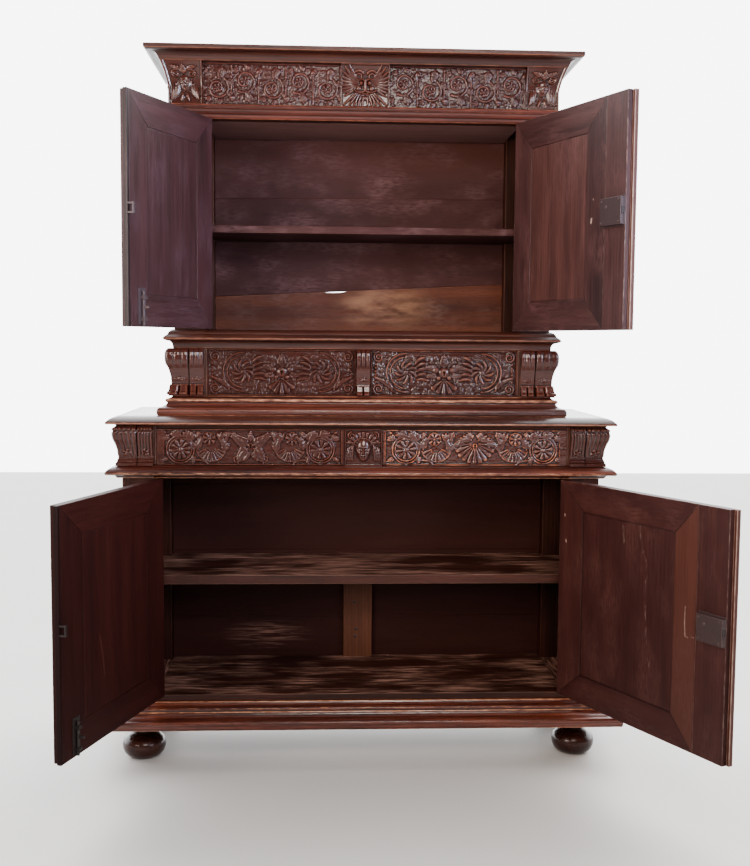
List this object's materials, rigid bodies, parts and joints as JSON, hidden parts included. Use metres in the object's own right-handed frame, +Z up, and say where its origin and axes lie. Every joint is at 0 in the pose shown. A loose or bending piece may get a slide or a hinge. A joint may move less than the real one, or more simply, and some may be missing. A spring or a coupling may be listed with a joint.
{
  "type": "carved buffet cupboard",
  "caption": "Stepped carved oak buffet with hinged panelled doors above and below, sliding drawers, shelves, locks and surface bolts, scrolled consoles, moulded cornice and turned bun feet.",
  "frame": {"origin": "on the floor under the middle of the lower body, at the mount floor_centre", "axes": "+Z up, +X to the right seen from the front, +Y from the front to the back"},
  "size_m": [1.651, 1.0218, 2.052],
  "materials": {
    "oak_waxed": "dark waxed oak, worn lighter along the edges",
    "oak_polished": "dark oak, polished",
    "oak_inside": "dark oak, dry and rubbed",
    "oak_pale": "paler raw board",
    "black_iron": "forged, blackened"
  },
  "bodies": {
    "cupboard": {"base_moulding": "oak_waxed", "bun_feet": "oak_waxed", "centre_console": "oak_waxed", "cornice": "oak_waxed", "drawer_moulding": "oak_waxed", "dust_boards": "oak_inside", "frieze_centre_block": "oak_waxed", "frieze_corner_blocks": "oak_waxed", "frieze_moulding": "oak_waxed", "frieze_panels": "oak_waxed", "front_rails": "oak_waxed", "hinge_pins": "black_iron", "lower_back_boards": "oak_inside", "lower_consoles": "oak_waxed", "lower_floor": "oak_inside", "lower_posts": "oak_waxed", "lower_shelf": "oak_inside", "mask_block": "oak_waxed", "runners_and_cleats": "oak_inside", "shelf_prop": "oak_pale", "side_panels": "oak_waxed", "side_rails": "oak_waxed", "table_top": "oak_polished", "upper_back_boards": "oak_inside", "upper_base_moulding": "oak_waxed", "upper_consoles": "oak_waxed", "upper_floor": "oak_inside", "upper_posts": "oak_waxed", "upper_shelf": "oak_inside", "waist_moulding": "oak_waxed"},
    "upper_left_door": {"upper_left_door_bolt_guides": "black_iron", "upper_left_door_frame": "oak_waxed", "upper_left_door_hinges": "black_iron", "upper_left_door_keeper": "black_iron", "upper_left_door_panel": "oak_waxed"},
    "upper_left_drawer": {"upper_left_drawer_box": "oak_inside", "upper_left_drawer_front": "oak_waxed"},
    "upper_right_door": {"upper_right_door_frame": "oak_waxed", "upper_right_door_hinges": "black_iron", "upper_right_door_lock_case": "black_iron", "upper_right_door_panel": "oak_waxed"},
    "upper_right_drawer": {"upper_right_drawer_box": "oak_inside", "upper_right_drawer_front": "oak_waxed"},
    "upper_lock_bolt": {"upper_right_door_lock_bolt": "black_iron"},
    "upper_slide_bolt": {"upper_left_door_slide_bolt": "black_iron"},
    "lower_left_door": {"lower_left_door_bolt_guides": "black_iron", "lower_left_door_frame": "oak_waxed", "lower_left_door_hinges": "black_iron", "lower_left_door_keeper": "black_iron", "lower_left_door_panel": "oak_waxed"},
    "lower_left_drawer": {"lower_left_drawer_box": "oak_inside", "lower_left_drawer_front": "oak_waxed"},
    "lower_right_door": {"lower_right_door_frame": "oak_waxed", "lower_right_door_hinges": "black_iron", "lower_right_door_lock_case": "black_iron", "lower_right_door_panel": "oak_waxed"},
    "lower_right_drawer": {"lower_right_drawer_box": "oak_inside", "lower_right_drawer_front": "oak_waxed"},
    "lower_lock_bolt": {"lower_right_door_lock_bolt": "black_iron"},
    "lower_slide_bolt": {"lower_left_door_slide_bolt": "black_iron"}
  },
  "joints": [
    {"name": "upper_left_door_hinge", "type": "hinge", "parent": "cupboard", "child": "upper_left_door", "pos_m": [-0.46, -0.165, 1.5635], "axis": [0, 0, -1], "range_deg": [-114.9, 35.1]},
    {"name": "upper_right_door_hinge", "type": "hinge", "parent": "cupboard", "child": "upper_right_door", "pos_m": [0.46, -0.165, 1.5635], "axis": [0, 0, 1], "range_deg": [-113.2, 36.8]},
    {"name": "upper_left_drawer_slide", "type": "slide", "parent": "cupboard", "child": "upper_left_drawer", "axis": [0, -1, 0], "range_m": [0, 0.24]},
    {"name": "upper_right_drawer_slide", "type": "slide", "parent": "cupboard", "child": "upper_right_drawer", "axis": [0, -1, 0], "range_m": [0, 0.24]},
    {"name": "upper_lock_bolt_slide", "type": "slide", "parent": "upper_right_door", "child": "upper_lock_bolt", "axis": [0.3939, -0.9191, 0], "range_m": [0, 0.014]},
    {"name": "upper_slide_bolt_slide", "type": "slide", "parent": "upper_left_door", "child": "upper_slide_bolt", "axis": [0, 0, -1], "range_m": [0, 0.012]},
    {"name": "lower_left_door_hinge", "type": "hinge", "parent": "cupboard", "child": "lower_left_door", "pos_m": [-0.6, -0.215, 0.5235], "axis": [0, 0, -1], "range_deg": [-108.3, 41.7]},
    {"name": "lower_right_door_hinge", "type": "hinge", "parent": "cupboard", "child": "lower_right_door", "pos_m": [0.6, -0.215, 0.5235], "axis": [0, 0, 1], "range_deg": [-116.3, 33.7]},
    {"name": "lower_left_drawer_slide", "type": "slide", "parent": "cupboard", "child": "lower_left_drawer", "axis": [0, -1, 0], "range_m": [0, 0.27]},
    {"name": "lower_right_drawer_slide", "type": "slide", "parent": "cupboard", "child": "lower_right_drawer", "axis": [0, -1, 0], "range_m": [0, 0.27]},
    {"name": "lower_lock_bolt_slide", "type": "slide", "parent": "lower_right_door", "child": "lower_lock_bolt", "axis": [0.4431, -0.8965, 0], "range_m": [0, 0.014]},
    {"name": "lower_slide_bolt_slide", "type": "slide", "parent": "lower_left_door", "child": "lower_slide_bolt", "axis": [0, 0, -1], "range_m": [0, 0.012]}
  ]
}
